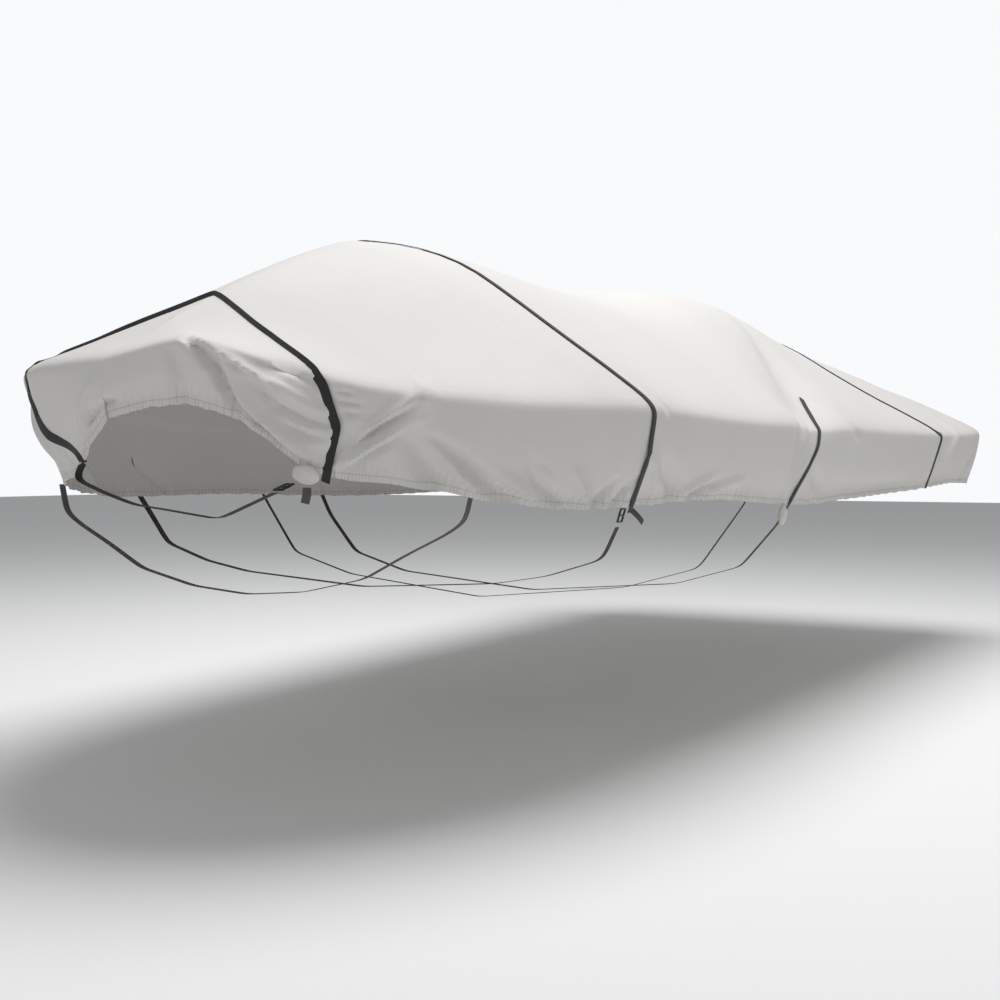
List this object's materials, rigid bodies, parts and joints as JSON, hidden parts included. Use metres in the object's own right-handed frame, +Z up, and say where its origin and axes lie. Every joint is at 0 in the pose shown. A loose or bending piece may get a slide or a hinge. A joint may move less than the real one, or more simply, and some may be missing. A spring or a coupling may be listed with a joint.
{
  "type": "fitted boat cover",
  "caption": "Fitted fabric cover for an open V-hull boat, tented over windscreen and seats, with a gathered hem, webbing tie-down straps, buckles and cloth pouches.",
  "frame": {"origin": "on the centreline half way along the cover, at the underside of its top, where the boat holds it up", "axes": "+X aft along the boat, +Y to starboard, +Z up; the port side faces -Y"},
  "size_m": [5.1925, 2.3484, 1.2257],
  "materials": {
    "polyester_cloth": "matte",
    "polypropylene_webbing": "matte",
    "grey_webbing": "matte",
    "acetal_plastic": "satin"
  },
  "bodies": {
    "root": {"cover": "polyester_cloth", "bow_pouch": "polyester_cloth", "middle_pouch": "polyester_cloth", "bow_strap": "polypropylene_webbing", "forward_strap": "polypropylene_webbing", "middle_strap": "polypropylene_webbing", "aft_strap": "polypropylene_webbing", "thin_tie": "polypropylene_webbing", "grey_tie": "grey_webbing", "bow_tail": "grey_webbing", "forward_tail": "grey_webbing", "bow_buckle": "acetal_plastic", "forward_buckle": "acetal_plastic"}
  },
  "joints": []
}
